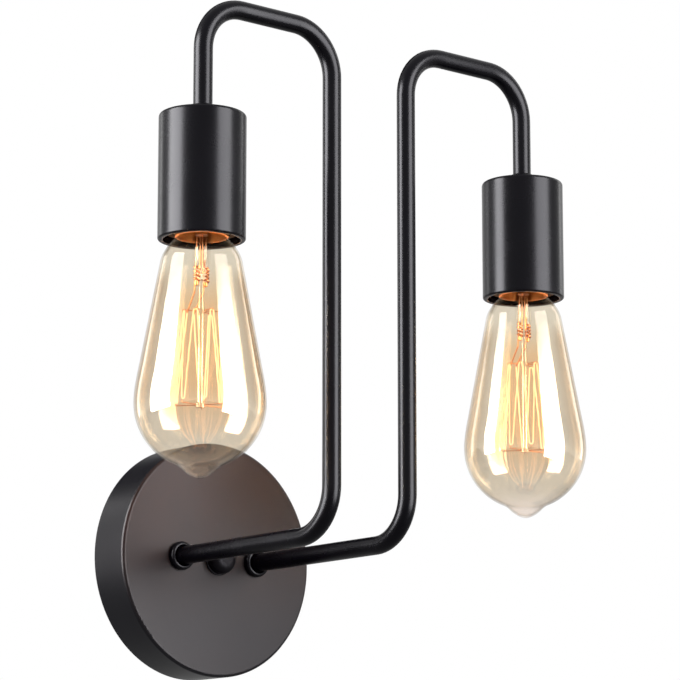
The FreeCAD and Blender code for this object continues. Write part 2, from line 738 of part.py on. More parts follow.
# ---------------------------------------------------------------- wiring
def lead(side, outward, plane, connector_x, terminal_y):
    """One insulated lead from its wire connector through the pipe to its terminal."""
    shift = outward * LEAD_PITCH / 2.0
    riser = side * (RISER_X - shift)
    drop = side * (DROP_X + shift)
    top = RISER_HEIGHT + shift
    low = MOUTH_Z + LEAD_END
    entry = connector_x + side * ((CONNECTOR_BORE - LEAD_DIA) / 2.0 - HOLE_FIT)
    crossing = -CROSSING_NEAR if side * connector_x > 0 else -CROSSING_FAR
    reach = terminal_y - math.copysign(TERMINAL_HEAD / 2.0 + LEAD_STRIP, terminal_y)
    points = [
        Vector(entry, -plane, CONNECTOR_MOUTH - CONNECTOR_ENTRY),
        Vector(entry, -plane, crossing),
        Vector(riser, -plane, crossing),
        Vector(riser, -plane, 0),
        Vector(riser, RISER_Y, 0),
        Vector(riser, RISER_Y, top),
        Vector(drop, RISER_Y, top),
        Vector(drop, RISER_Y, low),
        Vector(drop, RISER_Y + reach, low),
    ]
    bends = [LEAD_BEND] * 3 + [BEND_RADIUS, BEND_RADIUS + shift, BEND_RADIUS + shift, LEAD_BEND]
    jacket = tube_along(bent_path(points, bends), LEAD_DIA / 2.0)
    core_end = RISER_Y + terminal_y + math.copysign(TERMINAL_SHANK / 2.0, terminal_y)
    heading = Vector(0, math.copysign(1.0, terminal_y), 0)
    tip = points[-1] - heading * CORE_GRIP
    core = Part.makeCylinder(LEAD_CORE / 2.0, abs(core_end - tip.y), tip, heading)
    return jacket.fuse(core).removeSplitter()


def hot_lead(side):
    """The black lead, which runs on the outside of the bends."""
    return lead(side, 1.0, HOT_PLANE, -CONNECTOR_PITCH, TERMINAL_OFFSET)


def neutral_lead(side):
    """The white lead, which runs on the inside of the bends."""
    return lead(side, -1.0, NEUTRAL_PLANE, CONNECTOR_PITCH, -TERMINAL_OFFSET)


def ground_lead():
    """The bare earth lead with the ring that the earthing screw clamps."""
    seat = BRACKET_SHEET + TERMINAL_RING_SHEET
    eye = ring(TERMINAL_RING_DIA / 2.0, GROUND_SCREW_DIA / 2.0 + HOLE_FIT, BRACKET_SHEET, seat)
    eye = facing_out(moved(eye, y=-GROUND_DROP))
    half = BARREL_DIA / 2.0
    spine = BRACKET_SHEET + half
    start = -GROUND_DROP - GROUND_HEAD_DIA / 2.0 - SLIDE_FIT
    root = -GROUND_DROP - (TERMINAL_RING_DIA + GROUND_SCREW_DIA) / 4.0
    tongue = block(-half, half, -seat, -BRACKET_SHEET, start, root)
    barrel = Part.makeCylinder(half, BARREL_LENGTH, Vector(0, -spine, start), Vector(0, 0, -1))
    end = start - BARREL_LENGTH
    points = [Vector(0, -spine, end), Vector(0, -spine, end - EARTH_BEND),
              Vector(0, -NEUTRAL_PLANE, end - EARTH_BEND - EARTH_RUN),
              Vector(0, -NEUTRAL_PLANE, EARTH_MOUTH - CONNECTOR_ENTRY)]
    cable = tube_along(bent_path(points, [EARTH_BEND] * 2), LEAD_DIA / 2.0)
    return eye.fuse(tongue).fuse(barrel).fuse(cable).removeSplitter()


def connector():
    """One twist-on wire connector, mouth at z = 0 and pointing down."""
    base = CONNECTOR_DIA / 2.0
    tip = CONNECTOR_TIP_DIA / 2.0
    bore = CONNECTOR_BORE / 2.0
    return turned([(bore, 0), (base, 0), (base, -CONNECTOR_SKIRT), (tip, -CONNECTOR_LENGTH),
                   (0, -CONNECTOR_LENGTH), (0, -CONNECTOR_BORE_DEPTH), (bore, -CONNECTOR_BORE_DEPTH)])


def wire_connectors():
    """The three twist-on connectors: hot, earth and neutral."""
    earth_plane = NEUTRAL_PLANE + (CONNECTOR_BORE - LEAD_DIA) / 2.0 - THREAD_FIT
    places = [
        (-CONNECTOR_PITCH, HOT_PLANE, CONNECTOR_MOUTH),
        (CONNECTOR_PITCH, NEUTRAL_PLANE, CONNECTOR_MOUTH),
        (0.0, earth_plane, EARTH_MOUTH),
    ]
    return Part.makeCompound([moved(connector(), x, -plane, z) for x, plane, z in places])


# ---------------------------------------------------------------- assembly
def at_lamp(solid, side):
    """Move a piece from the cup's mouth to its place on one side of the light."""
    return moved(solid, side * DROP_X, RISER_Y, MOUTH_Z)


def pieces():
    """Every node of the light with its shape."""
    nodes = {
        "canopy": canopy(),
        "wall_bracket": wall_bracket(),
        "centre_stud": centre_stud(),
        "stud_nut": stud_nut(),
        "finial_washer": finial_washer(),
        "finial": finial(),
        "ground_screw": ground_screw(),
        "ground_lead": ground_lead(),
        "wire_connectors": wire_connectors(),
    }
    lamp_pieces = {
        "cup": cup, "cup_collar": cup_collar, "cup_nut": cup_nut, "holder_yoke": holder_yoke,
        "screw_shell": screw_shell, "centre_spring": centre_spring, "bulb_cap": bulb_cap,
        "bulb_insulator": bulb_insulator, "bulb_contact": bulb_contact, "bulb_glass": bulb_glass,
        "bulb_stem": bulb_stem, "bulb_rod": bulb_rod, "bulb_filament": bulb_filament,
        "bulb_hooks": bulb_hooks, "bulb_lead_wires": bulb_lead_wires,
    }
    for name, side in SIDES.items():
        nodes["arm_" + name] = arm(side)
        nodes["arm_collar_" + name] = arm_collar(side)
        nodes["arm_washer_" + name] = arm_washer(side)
        nodes["arm_nut_" + name] = arm_nut(side)
        nodes["hot_lead_" + name] = hot_lead(side)
        nodes["neutral_lead_" + name] = neutral_lead(side)
        nodes["holder_body_" + name] = at_lamp(holder_body(side), side)
        nodes["terminal_screws_" + name] = at_lamp(terminal_screws(side), side)
        for piece, make in lamp_pieces.items():
            nodes[piece + "_" + name] = at_lamp(make(), side)
    return nodes


def main():
    """Write one STEP file for each node."""
    os.makedirs("parts", exist_ok=True)
    for node, shape in pieces().items():
        sound = shape.isValid() and all(solid.isClosed() for solid in shape.Solids)
        print(f"{node:24s} solids {len(shape.Solids):2d} volume {shape.Volume:10.1f} mm3 sound {sound}")
        shape.exportStep(f"parts/{node}.step")


main()
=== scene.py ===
"""Two-lamp pipe wall light: finishes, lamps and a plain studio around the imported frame.

Everything is in metres in the frame's own axes: the wall plane is y = 0, +X runs right along the
wall, -Y points out into the room and +Z is up.
"""

import logging
import math
from dataclasses import dataclass
from enum import Enum
from typing import Sequence, Union

import bmesh
import bpy
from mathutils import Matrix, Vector


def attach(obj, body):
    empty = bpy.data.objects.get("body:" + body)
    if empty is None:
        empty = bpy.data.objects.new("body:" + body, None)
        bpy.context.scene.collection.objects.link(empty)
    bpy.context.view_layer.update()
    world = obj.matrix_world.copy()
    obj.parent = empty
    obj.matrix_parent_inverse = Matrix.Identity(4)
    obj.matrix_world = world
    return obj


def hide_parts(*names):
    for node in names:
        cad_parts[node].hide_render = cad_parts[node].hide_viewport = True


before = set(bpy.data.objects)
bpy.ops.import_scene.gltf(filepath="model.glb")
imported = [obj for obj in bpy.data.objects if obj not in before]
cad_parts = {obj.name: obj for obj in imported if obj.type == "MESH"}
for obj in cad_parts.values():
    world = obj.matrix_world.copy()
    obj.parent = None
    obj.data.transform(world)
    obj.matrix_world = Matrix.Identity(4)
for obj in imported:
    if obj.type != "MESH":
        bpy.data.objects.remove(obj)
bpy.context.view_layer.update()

MM = 0.001
LOG = logging.getLogger("wall_light")

Colour = tuple[float, float, float]
Place = tuple[float, float, float]
Spot = tuple[float, float]
Band = tuple[float, float]
Operand = Union[float, Colour, "Wire"]

WHITE: Colour = (1.0, 1.0, 1.0)
UP = Vector((0.0, 0.0, 1.0))
FULL_TURN = 2.0 * math.pi
QUARTER_TURN = math.pi / 2.0

# Noise: the band that patches fade over, the octaves, and how the grains stretch or grow.
PATCH_BAND: Band = (0.32, 0.68)
PATCH_DETAIL = 4.0
SPECK_DETAIL = 2.0
BRUSH_STRETCH: Place = (1.0, 1.0, 14.0)
MOULD_GROWTH = 2.0
MOULD_DETAIL = 6.0

# Meshes: the faces round a wire, a rod and an oval, and the pieces of a curve and of a bend.
WIRE_SIDES = 8
ROD_SIDES = 32
OVAL_SIDES = 48
CURVE_STEPS = 8
BEND_STEPS = 6
ON_AXIS = 1e-6
END_BULGE = 0.6
SHARP_ANGLE = 35.0
ELLIPSE = 2.0

# The power of an area lamp for each square metre and unit of radiance.
LAMP_POWER = 4.0


# ---- choices
class Side(Enum):
    """The two halves of the light."""

    LEFT = -1
    RIGHT = 1

    @property
    def tag(self) -> str:
        """The ending of the side's node names."""
        return self.name.lower()


class Grain(Enum):
    """How a finish varies over its surface."""

    SPRAYED = "sprayed"
    BRUSHED = "brushed"
    MOULDED = "moulded"


# ---- shader arithmetic
class Wire:
    """A shader socket whose arithmetic is written with Python's operators."""

    def __init__(self, net: "Net", socket: bpy.types.NodeSocket | None) -> None:
        """Wrap a socket.

        Args:
            net: the node tree that the socket belongs to.
            socket: an output socket, or None for a node without one.
        """
        self.net = net
        self.socket = socket

    def _math(self, operation: str, *terms: Operand) -> "Wire":
        """Add one Math node.

        Args:
            operation: the Math node's operation.
            terms: its inputs in order.

        Returns:
            The node's result.
        """
        return self.net.add("ShaderNodeMath", {"operation": operation}, dict(enumerate(terms)))

    def __add__(self, other: Operand) -> "Wire":
        """Sum."""
        return self._math("ADD", self, other)

    def __radd__(self, other: Operand) -> "Wire":
        """Sum, reflected."""
        return self._math("ADD", other, self)

    def __sub__(self, other: Operand) -> "Wire":
        """Difference."""
        return self._math("SUBTRACT", self, other)

    def __rsub__(self, other: Operand) -> "Wire":
        """Difference, reflected."""
        return self._math("SUBTRACT", other, self)

    def __mul__(self, other: Operand) -> "Wire":
        """Product."""
        return self._math("MULTIPLY", self, other)

    def __rmul__(self, other: Operand) -> "Wire":
        """Product, reflected."""
        return self._math("MULTIPLY", other, self)

    def __pow__(self, other: Operand) -> "Wire":
        """Power."""
        return self._math("POWER", self, other)

    def size(self) -> "Wire":
        """The value without its sign."""
        return self._math("ABSOLUTE", self)

    def most(self, other: Operand) -> "Wire":
        """The larger of two values."""
        return self._math("MAXIMUM", self, other)

    def ease(self, low: float, high: float) -> "Wire":
        """A smooth step from 0 at low to 1 at high."""
        return self.net.add("ShaderNodeMapRange", {"interpolation_type": "SMOOTHSTEP"},
                            {"Value": self, "From Min": low, "From Max": high})


class Net:
    """The node tree of one material or of the world."""

    def __init__(self, tree: bpy.types.NodeTree) -> None:
        """Start with an empty tree.

        Args:
            tree: the tree to fill; its nodes are removed.
        """
        self.tree = tree
        tree.nodes.clear()

    def add(self, kind: str, settings: dict | None = None, inputs: dict | None = None,
            output: int | str = 0) -> Wire:
        """Add one node.

        Args:
            kind: the node's type.
            settings: attributes that are set first.
            inputs: values or wires for its sockets, by name or number.
            output: the output that is handed back.

        Returns:
            The chosen output.
        """
        node = self.tree.nodes.new(kind)
        for key, value in (settings or {}).items():
            setattr(node, key, value)
        for key, value in (inputs or {}).items():
            socket = node.inputs[key]
            if isinstance(value, Wire):
                self.tree.links.new(value.socket, socket)
            elif isinstance(value, tuple) and len(value) == 3 and socket.type == "RGBA":
                socket.default_value = (*value, 1.0)
            else:
                socket.default_value = value
        return Wire(self, node.outputs[output] if node.outputs else None)

    def mix(self, share: Operand, first: Operand, second: Operand) -> Wire:
        """Mix two colours.

        Args:
            share: how much of the second colour.
            first: the colour at share 0.
            second: the colour at share 1.

        Returns:
            The mixed colour.
        """
        return self.add("ShaderNodeMix", {"data_type": "RGBA"},
                        {0: share, 6: first, 7: second}, output=2)

    def blend(self, share: Operand, first: Wire, second: Wire) -> Wire:
        """Mix two shaders.

        Args:
            share: how much of the second shader.
            first: the shader at share 0.
            second: the shader at share 1.

        Returns:
            The mixed shader.
        """
        return self.add("ShaderNodeMixShader", {}, {0: share, 1: first, 2: second})

    def place(self) -> Wire:
        """The surface point in the object's own axes."""
        return self.add("ShaderNodeTexCoord", output="Object")

    def along(self, axis: int) -> Wire:
        """The surface point's place along one axis."""
        return self.add("ShaderNodeSeparateXYZ", {}, {0: self.place()}, output=axis)

    def ray(self, kind: str) -> Wire:
        """1 for rays of a kind, such as Is Camera Ray, and 0 for others."""
        return self.add("ShaderNodeLightPath", output=kind)

    def glow(self, strength: float) -> Wire:
        """A white shader that gives light of a given strength."""
        return self.add("ShaderNodeEmission", {}, {"Color": WHITE, "Strength": strength})

    def noise(self, size: float, detail: float, stretch: Place = (1.0, 1.0, 1.0)) -> Wire:
        """Noise with features of a given size in metres.

        Args:
            size: the features' size.
            detail: the number of finer octaves.
            stretch: how much finer the noise runs along each axis.

        Returns:
            The noise value, 0 to 1 about a half.
        """
        where = self.add("ShaderNodeVectorMath", {"operation": "MULTIPLY"},
                         {0: self.place(), 1: stretch})
        return self.add("ShaderNodeTexNoise", {},
                        {"Vector": where, "Scale": 1.0 / size, "Detail": detail})

    def bump(self, height: Wire, depth: float) -> Wire:
        """Turn a height into a normal.

        Args:
            height: 0 to 1.
            depth: the height's size in metres.

        Returns:
            The bent normal.
        """
        return self.add("ShaderNodeBump", {}, {"Distance": depth, "Height": height},
                        output="Normal")

    def surface(self, shader: Wire) -> None:
        """Use a shader as the material's surface."""
        self.add("ShaderNodeOutputMaterial", {}, {"Surface": shader})


# ---- finishes
def blank_material(name: str) -> tuple[bpy.types.Material, Net]:
    """Start a material.

    Args:
        name: its name.

    Returns:
        The material and its tree.
    """
    material = bpy.data.materials.new(name)
    material.use_nodes = True
    return material, Net(material.node_tree)


@dataclass(frozen=True)
class Coating:
    """Any finish: it makes its material once and dresses objects in it."""

    name: str

    def paint(self, net: Net) -> None:
        """Fill the material's tree; each kind of finish has its own."""
        raise NotImplementedError

    def material(self) -> bpy.types.Material:
        """The finish's material, made on its first use.

        Returns:
            The material.
        """
        kept = bpy.data.materials.get(self.name)
        if kept:
            return kept
        material, net = blank_material(self.name)
        self.paint(net)
        return material

    def dress(self, *objects: bpy.types.Object) -> None:
        """Give the finish to every slot of the objects.

        Args:
            objects: the pieces to dress.
        """
        for piece in objects:
            if not piece.material_slots:
                piece.data.materials.append(self.material())
            for place in piece.material_slots:
                place.material = self.material()
            LOG.info("%s in %s", piece.name, self.name)


@dataclass(frozen=True)
class Finish(Coating):
    """An opaque finish: paint, metal or moulding."""

    colour: Colour
    second: Colour
    roughness: float
    metallic: float = 0.0
    specular: float = 0.5
    tint: Colour = WHITE
    grain: Grain = Grain.SPRAYED
    patch: float = 22 * MM
    speck: float = 0.35 * MM
    relief: float = 0.004 * MM
    wander: float = 0.06

    def paint(self, net: Net) -> None:
        """Fill the tree with a patchy colour, a wandering gloss and a fine relief.

        Args:
            net: the material's tree.
        """
        patches = net.noise(self.patch, PATCH_DETAIL).ease(*PATCH_BAND)
        specks = self._specks(net)
        colour = self._spread(net, net.mix(patches, self.colour, self.second))
        roughness = self.roughness + (patches - 0.5) * self.wander
        net.surface(net.add("ShaderNodeBsdfPrincipled", {}, {
            "Base Color": colour,
            "Metallic": self.metallic,
            "Roughness": roughness,
            "Specular IOR Level": self.specular,
            "Specular Tint": self.tint,
            "Normal": net.bump(specks, self.relief),
        }))

    def _spread(self, net: Net, colour: Wire) -> Wire:
        """The colour as it changes over the piece; plain finishes keep it."""
        return colour

    def _specks(self, net: Net) -> Wire:
        """The fine height of the finish.

        Args:
            net: the material's tree.

        Returns:
            Noise that suits the finish's grain.
        """
        if self.grain is Grain.BRUSHED:
            return net.noise(self.speck, SPECK_DETAIL, BRUSH_STRETCH)
        if self.grain is Grain.MOULDED:
            return net.noise(self.speck * MOULD_GROWTH, MOULD_DETAIL)
        return net.noise(self.speck, SPECK_DETAIL)


@dataclass(frozen=True)
class CanopyFinish(Finish):
    """The canopy's paint: a brown face whose top is made warmer and lighter by painted glow from
    the lamps, fading to a cooler, darker foot, and a blacker rim.
    """

    rim: Colour = (0.004, 0.004, 0.007)
    # The face fades from the foot colour low down to painted warm glow from the lamps at the top.
    foot: Colour = (0.010, 0.010, 0.013)
    face_depth: float = -0.0243
    fade: Band = (-0.045, 0.030)

    def _spread(self, net: Net, colour: Wire) -> Wire:
        """The colour as it changes from rim to face, and from the foot up to the top with its
        painted glow.

        Args:
            net: the material's tree.
            colour: the patchy colour.

        Returns:
            The changing colour.
        """
        # Painted glow: the top of the face takes the warmer, lighter colour and the foot the
        # cooler, darker one.
        face = net.mix(net.along(2).ease(*self.fade), self.foot, colour)
        back = net.along(1).ease(self.face_depth, self.face_depth + MM)
        return net.mix(back, face, self.rim)


@dataclass(frozen=True)
class CupFinish(Finish):
    """The cups' paint, with a painted highlight along the inner edge of the mouth."""

    axis: Spot = (0.1075, -0.148)
    bore: float = 19.0 * MM
    edge: float = 0.45 * MM
    firm: float = 0.6
    inside: Band = (-0.2 * MM, -0.1 * MM)
    mouth: float = 0.1355
    # A light grey painted highlight on the rounded inner edge of the mouth.
    worn: Colour = (0.10, 0.105, 0.125)

    def _spread(self, net: Net, colour: Wire) -> Wire:
        """The colour with its painted highlight at the mouth's inner edge.

        Args:
            net: the material's tree.
            colour: the patchy colour.

        Returns:
            The changing colour.
        """
        out, back = net.along(0).size() - self.axis[0], net.along(1) - self.axis[1]
        radius = (out * out + back * back) ** 0.5 - self.bore
        height = net.along(2) - self.mouth
        highlight_band: Band = (self.edge * self.firm, self.edge)
        # The ring of painted highlight round the bore, fading out above the mouth.
        ring = (1 - radius.ease(*highlight_band)) * radius.ease(*self.inside)
        return net.mix(ring * (1 - height.ease(*highlight_band)), colour, self.worn)


@dataclass(frozen=True)
class LampGlass(Coating):
    """Thin coated glass: it tints what is behind it and mirrors the room a little; a warm tint
    paints the filament's glow into its middle.
    """

    centre: Colour
    edge: Colour
    sheen: Colour
    mirror: float
    # warm: a salmon tint over the middle band where the glass faces the viewer, painted glow of the
    # lit filament.
    warm: Colour | None = None
    warm_band: Band = (0.050, 0.112)
    warm_blur: float = 0.25
    warm_facing: Band = (0.11, 0.21)
    edge_facing: Band = (0.12, 0.55)
    edge_foot: Band = (0.042, 0.062)
    edge_top: Band = (0.112, 0.124)
    tip: Colour = (0.975, 0.950, 0.930)
    tip_band: Band = (0.022, 0.036)
    # outline: a grey reflection colour at grazing angles, painted shade along the glass's edge.
    outline: Colour = (0.42, 0.39, 0.37)
    outline_band: Band = (0.70, 0.90)
    roughness: float = 0.03
    fading: float = 0.84
    fade_band: Band = (0.078, 0.116)
    grazing: float = 5.0
    ball_mirror: float = 0.070
    ball_band: Band = (0.046, 0.058)

    def paint(self, net: Net) -> None:
        """Fill the tree with tinted see-through layers under a mirror.

        Args:
            net: the material's tree.
        """
        facing = net.add("ShaderNodeLayerWeight", {}, {"Blend": 0.5}, output="Facing")
        height = net.along(2)
        side = facing.ease(*self.edge_facing) * height.ease(*self.edge_foot)
        side = side * (1 - height.ease(*self.edge_top))
        through = net.blend(side, self._tint(net, self.centre), self._tint(net, self.edge))
        # Painted glow: the middle of the glass, where it faces the viewer, is tinted salmon as if
        # lit by the filament.
        if self.warm:
            low, high = self.warm_band
            blur = self.warm_blur * (high - low)
            band = height.ease(low - blur, low + blur) * (1 - height.ease(high - blur, high + blur))
            middle = band * (1 - facing.ease(*self.warm_facing))
            through = net.blend(middle, through, self._tint(net, self.warm))
            above_tip = height.ease(*self.tip_band)
            through = net.blend(above_tip, self._tint(net, self.tip), through)
        # The reflection's colour greys at the very edge: painted shade along the outline.
        gloss = net.add("ShaderNodeBsdfPrincipled", {}, {
            "Base Color": net.mix(facing.ease(*self.outline_band), self.sheen, self.outline),
            "Metallic": 1.0,
            "Roughness": self.roughness,
        })
        mirror = self.mirror * (1 - self.fading * height.ease(*self.fade_band))
        mirror = mirror + (1.0 - self.mirror) * facing ** self.grazing
        if self.warm:
            ball = height.ease(*self.tip_band) * (1 - height.ease(*self.ball_band))
            mirror = mirror + self.ball_mirror * ball * (1 - facing)
        net.surface(net.blend(mirror, through, gloss))

    @staticmethod
    def _tint(net: Net, colour: Colour) -> Wire:
        """A see-through shader of one colour."""
        return net.add("ShaderNodeBsdfTransparent", {}, {"Color": colour})


@dataclass(frozen=True)
class Glow(Coating):
    """A lit carbon thread."""

    colour: Colour
    strength: float
    char: Colour = (0.05, 0.03, 0.02)
    roughness: float = 0.6
    patch: float = 3.0 * MM
    patch_band: Band = (0.3, 0.7)
    dimming: float = 0.85

    def paint(self, net: Net) -> None:
        """Fill the tree with a dark thread that gives light.

        Args:
            net: the material's tree.
        """
        patches = net.noise(self.patch, SPECK_DETAIL).ease(*self.patch_band)
        dim = tuple(self.dimming * part for part in self.colour)
        net.surface(net.add("ShaderNodeBsdfPrincipled", {}, {
            "Base Color": self.char,
            "Roughness": self.roughness,
            "Emission Color": net.mix(patches, self.colour, dim),
            "Emission Strength": self.strength,
        }))


# The face colour's warm brown is partly the paint's bronze tone and partly painted glow from the
# lamps.
CANOPY_PAINT = CanopyFinish(
    "canopy_satin", (0.024, 0.014, 0.013), (0.017, 0.012, 0.012), 0.33,
    specular=0.12, tint=(1.0, 0.94, 0.95), patch=60 * MM, relief=0.002 * MM, wander=0.05)
SATIN_COAT = {"tint": (0.96, 0.95, 1.0), "relief": 0.0003 * MM, "wander": 0.03}
BLACK_PAINT = Finish(
    "satin_black_paint", (0.0012, 0.0009, 0.0026), (0.0018, 0.0014, 0.0034), 0.27,
    specular=0.115, **SATIN_COAT)
CUP_PAINT = CupFinish(
    "cup_satin_black", BLACK_PAINT.colour, BLACK_PAINT.second, BLACK_PAINT.roughness,
    specular=BLACK_PAINT.specular, **SATIN_COAT)
FINIAL_PAINT = Finish(
    "finial_satin_black", (0.0030, 0.0025, 0.0045), (0.0040, 0.0034, 0.0058), 0.46,
    specular=0.07, **SATIN_COAT)
ZINC = Finish(
    "zinc_plate", (0.60, 0.61, 0.62), (0.50, 0.51, 0.54), 0.34, 1.0, grain=Grain.BRUSHED)
STAMPED_BRASS = Finish(
    "stamped_brass", (0.78, 0.57, 0.27), (0.68, 0.47, 0.20), 0.30, 1.0, grain=Grain.BRUSHED)
CAP_BRASS = Finish(
    "cap_brass", (0.95, 0.46, 0.20), (0.85, 0.37, 0.14), 0.34, 0.5, grain=Grain.BRUSHED)
COPPER = Finish(
    "drawn_copper", (0.74, 0.30, 0.13), (0.60, 0.22, 0.09), 0.32, 1.0, patch=4 * MM)
HOLDER_MOULDING = Finish(
    "black_moulding", (0.020, 0.018, 0.017), (0.028, 0.025, 0.022), 0.48,
    grain=Grain.MOULDED, relief=0.01 * MM)
GREEN_PLATE = Finish("green_lacquer", (0.03, 0.28, 0.09), (0.02, 0.20, 0.07), 0.30, 0.6)
CONNECTOR_SHELL = Finish(
    "connector_shell", (0.75, 0.22, 0.03), (0.68, 0.19, 0.03), 0.35,
    grain=Grain.MOULDED, relief=0.01 * MM)
BLACK_SLEEVE = Finish(
    "black_sleeve", (0.015, 0.015, 0.016), (0.022, 0.022, 0.023), 0.45, patch=8 * MM)
WHITE_SLEEVE = Finish(
    "white_sleeve", (0.80, 0.79, 0.74), (0.74, 0.72, 0.66), 0.45, patch=8 * MM)
FUSED_GLASS = Finish(
    "fused_glass", (0.012, 0.010, 0.020), (0.020, 0.016, 0.030), 0.12, patch=3 * MM)
SOLDER = Finish(
    "soft_solder", (0.62, 0.62, 0.60), (0.52, 0.52, 0.51), 0.38, 1.0,
    patch=2 * MM, relief=0.05 * MM)
AMBER_GLASS = LampGlass(
    "amber_lamp_glass", (0.918, 0.892, 0.843), (0.84, 0.79, 0.72), (1.0, 0.90, 0.77), 0.056,
    warm=(0.93, 0.83, 0.70))
CLEAR_GLASS = LampGlass(
    "clear_lamp_glass", (0.97, 0.96, 0.94), (0.93, 0.90, 0.85), (1.0, 0.97, 0.92), 0.17)
LIT_THREAD = Glow("lit_thread", (1.0, 0.60, 0.35), 2.5)


# ---- the frame's own nodes
@dataclass(frozen=True)
class FrameFinishes:
    """The finishes of the CAD nodes that stay in view or inside the light."""

    def dress(self) -> None:
        """Give every CAD node its finish."""
        single = {
            CANOPY_PAINT: ("canopy",),
            FINIAL_PAINT: ("finial", "finial_washer"),
            ZINC: ("wall_bracket", "centre_stud", "stud_nut"),
            GREEN_PLATE: ("ground_screw",),
            COPPER: ("ground_lead",),
            CONNECTOR_SHELL: ("wire_connectors",),
        }
        paired = {
            BLACK_PAINT: ("arm", "arm_collar", "cup_collar"),
            CUP_PAINT: ("cup",),
            ZINC: ("arm_washer", "arm_nut", "cup_nut", "holder_yoke"),
            STAMPED_BRASS: ("terminal_screws", "screw_shell", "centre_spring"),
            CAP_BRASS: ("bulb_cap",),
            COPPER: ("bulb_hooks", "bulb_lead_wires"),
            HOLDER_MOULDING: ("holder_body",),
            BLACK_SLEEVE: ("hot_lead",),
            WHITE_SLEEVE: ("neutral_lead",),
            FUSED_GLASS: ("bulb_insulator",),
            SOLDER: ("bulb_contact",),
            AMBER_GLASS: ("bulb_glass",),
            CLEAR_GLASS: ("bulb_stem", "bulb_rod"),
            LIT_THREAD: ("bulb_filament",),
        }
        for finish, names in single.items():
            finish.dress(*(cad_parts[name] for name in names))
        for finish, names in paired.items():
            for side in Side:
                finish.dress(*(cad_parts[f"{name}_{side.tag}"] for name in names))
        LOG.info("frame: %d nodes dressed", len(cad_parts))


# ---- meshes
def placed(name: str, data: bpy.types.ID) -> bpy.types.Object:
    """Put a new object in the scene.

    Args:
        name: its name.
        data: its mesh, lamp or camera.

    Returns:
        The object.
    """
    piece = bpy.data.objects.new(name, data)
    bpy.context.scene.collection.objects.link(piece)
    return piece


class Shape:
    """A mesh under construction, in millimetres."""

    def __init__(self) -> None:
        """Start empty."""
        self.points: list[Vector] = []
        self.faces: list[tuple[int, ...]] = []

    def loft(self, rings: Sequence[Sequence[Vector]], wrap: bool = False) -> "Shape":
        """Skin closed rings of equal length, or single points as poles.

        Args:
            rings: the rings in order; a ring of one point is a pole.
            wrap: join the last ring to the first.

        Returns:
            This shape.
        """
        starts = []
        for ring in rings:
            starts.append(len(self.points))
            self.points.extend(ring)
        order = list(range(len(rings))) + ([0] if wrap else [])
        for one, two in zip(order, order[1:]):
            self._band(starts[one], len(rings[one]), starts[two], len(rings[two]))
        return self

    def _band(self, first: int, first_count: int, second: int, second_count: int) -> None:
        """Faces between two rings, either of which may be a pole.

        Args:
            first: the first ring's first point.
            first_count: its number of points.
            second: the second ring's first point.
            second_count: its number of points.
        """
        count = max(first_count, second_count)
        for step in range(count):
            after = (step + 1) % count
            low = (first,) if first_count == 1 else (first + step, first + after)
            high = (second,) if second_count == 1 else (second + after, second + step)
            self.faces.append(low + high)

    def turned(self, outline: Sequence[Spot], steps: int, wrap: bool = True) -> "Shape":
        """Turn an outline of (radius, height) points about Z.

        Args:
            outline: the points in order.
            steps: the number of faces round.
            wrap: close the outline from its end to its start.

        Returns:
            This shape.
        """
        rings = []
        for radius, height in outline:
            if radius < ON_AXIS:
                rings.append([Vector((0.0, 0.0, height))])
            else:
                rings.append([Vector((radius * math.cos(turn), radius * math.sin(turn), height))
                              for turn in (FULL_TURN * step / steps for step in range(steps))])
        return self.loft(rings, wrap)

    def turned_at(self, x: float, outline: Sequence[Spot], steps: int) -> "Shape":
        """Turn an outline about an upright line at x.

        Args:
            x: the line's place.
            outline: the (radius, height) points in order.
            steps: the number of faces round.

        Returns:
            This shape.
        """
        first = len(self.points)
        self.turned(outline, steps)
        for point in self.points[first:]:
            point.x += x
        return self

    def tube(self, path: Sequence[Vector], radius: float, sides: int = WIRE_SIDES) -> "Shape":
        """A round bar with rounded ends along a path.

        Args:
            path: the points of its centre line.
            radius: its radius.
            sides: the number of faces round.

        Returns:
            This shape.
        """
        last = len(path) - 1
        tangents = [(path[min(number + 1, last)] - path[max(number - 1, 0)]).normalized()
                    for number in range(len(path))]
        side = tangents[0].orthogonal().normalized()
        rings: list[list[Vector]] = [[path[0] - tangents[0] * radius * END_BULGE]]
        for point, tangent in zip(path, tangents):
            side = (side - tangent * side.dot(tangent)).normalized()
            cross = tangent.cross(side)
            rings.append([point + (side * math.cos(turn) + cross * math.sin(turn)) * radius
                          for turn in (FULL_TURN * step / sides for step in range(sides))])
        rings.append([path[-1] + tangents[-1] * radius * END_BULGE])
        return self.loft(rings)

    def build(self, name: str, offset: Vector) -> bpy.types.Object:
        """Make the object.

        Args:
            name: its name.
            offset: where the shape's origin goes, in metres.

        Returns:
            The new object, in the frame's axes.
        """
        mesh = bpy.data.meshes.new(name)
        mesh.from_pydata([point * MM + offset for point in self.points], [], self.faces)
        tool = bmesh.new()
        tool.from_mesh(mesh)
        bmesh.ops.recalc_face_normals(tool, faces=tool.faces)
        tool.to_mesh(mesh)
        tool.free()
        mesh.shade_smooth()
        mesh.set_sharp_from_angle(angle=math.radians(SHARP_ANGLE))
        return placed(name, mesh)


def eased(start: Spot, start_slope: Spot, end: Spot, end_slope: Spot, steps: int) -> list[Spot]:
    """A smooth curve of (radius, height) points with a given direction at each end.

    Args:
        start: the first point.
        start_slope: the direction there.
        end: the last point.
        end_slope: the direction there.
        steps: the number of pieces.

    Returns:
        The points after the first, up to the last.
    """
    first, last = Vector(start), Vector(end)
    reach = (last - first).length / 3.0
    out = first + Vector(start_slope).normalized() * reach
    back = last - Vector(end_slope).normalized() * reach
    points = []
    for step in range(1, steps + 1):
        t = step / steps
        point = (first * (1 - t) ** 3 + out * 3 * t * (1 - t) ** 2
                 + back * 3 * t * t * (1 - t) + last * t ** 3)
        points.append((point.x, point.y))
    return points


